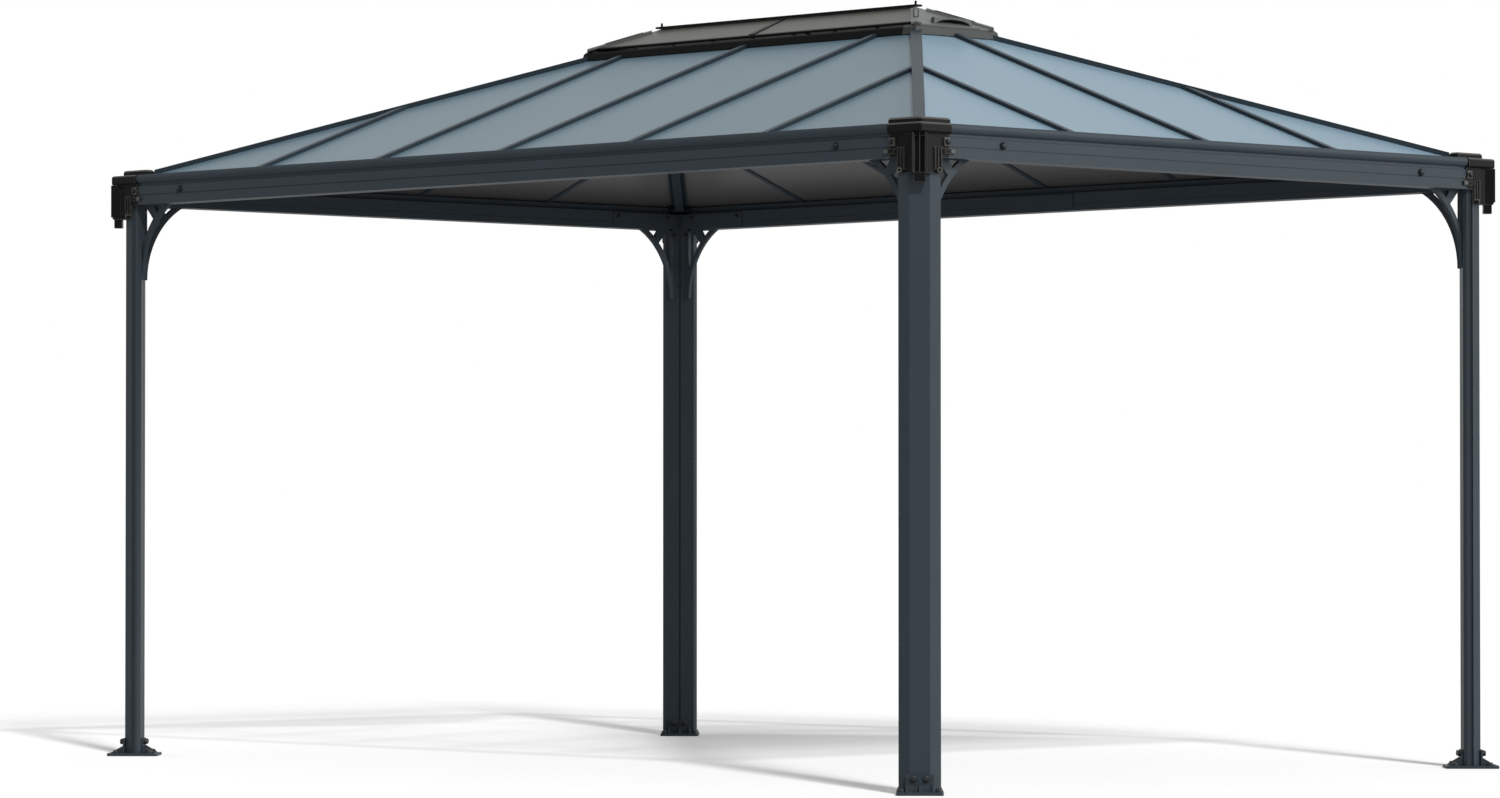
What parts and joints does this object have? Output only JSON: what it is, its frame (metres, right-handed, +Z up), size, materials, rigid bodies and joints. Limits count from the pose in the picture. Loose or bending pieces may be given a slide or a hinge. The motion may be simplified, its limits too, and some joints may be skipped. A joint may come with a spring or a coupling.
{
  "type": "hard-top gazebo",
  "caption": "Free-standing garden gazebo: posts on bolted feet, eaves beams with gutters, knee braces, and a hipped translucent roof with a raised vented top.",
  "frame": {"origin": "on the floor, under the middle of the roof", "axes": "+Z up, +X along the long side, +Y along the short side towards the back"},
  "size_m": [4.4096, 3.0596, 2.7705],
  "materials": {
    "frame_paint": "satin dark slate powder coat",
    "moulding": "fine matt, near black",
    "roof_sheet": "cloudy grey twin-wall sheet with fine lines down the slope",
    "vent_paint": "satin brown-grey powder coat"
  },
  "bodies": {
    "root": {"post_back_right": "frame_paint", "post_back_left": "frame_paint", "post_front_right": "frame_paint", "post_front_left": "frame_paint", "foot_back_right": "frame_paint", "foot_back_left": "frame_paint", "foot_front_right": "frame_paint", "foot_front_left": "frame_paint", "corner_bracket_back_right": "moulding", "corner_bracket_back_left": "moulding", "corner_bracket_front_right": "moulding", "corner_bracket_front_left": "moulding", "inner_connector_back_right": "frame_paint", "inner_connector_back_left": "frame_paint", "inner_connector_front_right": "frame_paint", "inner_connector_front_left": "frame_paint", "hip_bar_back_right": "frame_paint", "hip_bar_back_left": "frame_paint", "hip_bar_front_right": "frame_paint", "hip_bar_front_left": "frame_paint", "knee_braces_back_right": "frame_paint", "knee_braces_back_left": "frame_paint", "knee_braces_front_right": "frame_paint", "knee_braces_front_left": "frame_paint", "eaves_beam_back": "frame_paint", "eaves_beam_front": "frame_paint", "eaves_beam_right": "frame_paint", "eaves_beam_left": "frame_paint", "roof_bars_back": "frame_paint", "roof_bars_front": "frame_paint", "roof_bars_right": "frame_paint", "roof_bars_left": "frame_paint", "roof_sheets_back": "roof_sheet", "roof_sheets_front": "roof_sheet", "roof_sheets_right": "roof_sheet", "roof_sheets_left": "roof_sheet", "splice_plates": "frame_paint", "vent_curb": "frame_paint", "vent_skirt_back": "vent_paint", "vent_skirt_front": "vent_paint", "vent_skirt_right": "vent_paint", "vent_skirt_left": "vent_paint", "vent_spacers": "vent_paint", "vent_hood_back": "vent_paint", "vent_hood_front": "vent_paint", "vent_end_right": "vent_paint", "vent_end_left": "vent_paint", "vent_hip_covers": "vent_paint", "vent_ridge_cap": "vent_paint"}
  },
  "joints": []
}
